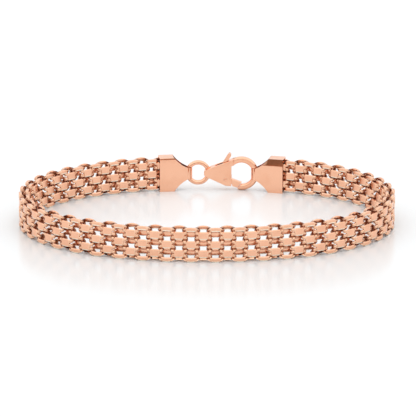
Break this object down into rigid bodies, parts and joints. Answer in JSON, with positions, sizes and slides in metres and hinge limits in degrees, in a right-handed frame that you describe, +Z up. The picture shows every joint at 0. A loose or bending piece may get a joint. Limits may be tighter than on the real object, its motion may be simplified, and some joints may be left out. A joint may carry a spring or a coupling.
{
  "type": "bismarck chain bracelet",
  "caption": "Flat bismarck chain bracelet of rose gold, fastened as an oval loop on its edge, with end caps, a jump ring and a lobster clasp.",
  "frame": {"origin": "centre of the loop on the surface that the bracelet stands on", "axes": "+X to the right along the oval's long way, +Y away from the viewer towards the clasp, +Z up across the band"},
  "size_m": [0.0686, 0.0506, 0.0072],
  "materials": {
    "rose_gold_links": "polished rose gold wire, filed flat and bright on both faces",
    "rose_gold_polished": "mirror-polished rose gold"
  },
  "bodies": {
    "bracelet": {"link_band": "rose_gold_links", "end_cap_left": "rose_gold_polished", "end_cap_right": "rose_gold_polished", "jump_ring": "rose_gold_polished", "clasp_body": "rose_gold_polished", "hinge_pin": "rose_gold_polished"},
    "lever": {"clasp_lever": "rose_gold_polished"}
  },
  "joints": [
    {"name": "lever_press", "type": "hinge", "parent": "bracelet", "child": "lever", "pos_m": [0.00435, 0.02394, 0.00215], "axis": [-0.107, -0.9943, 0], "range_deg": [0, 25], "stiffness_Nm_per_rad": 0.00002, "springref_deg": -14.32}
  ]
}
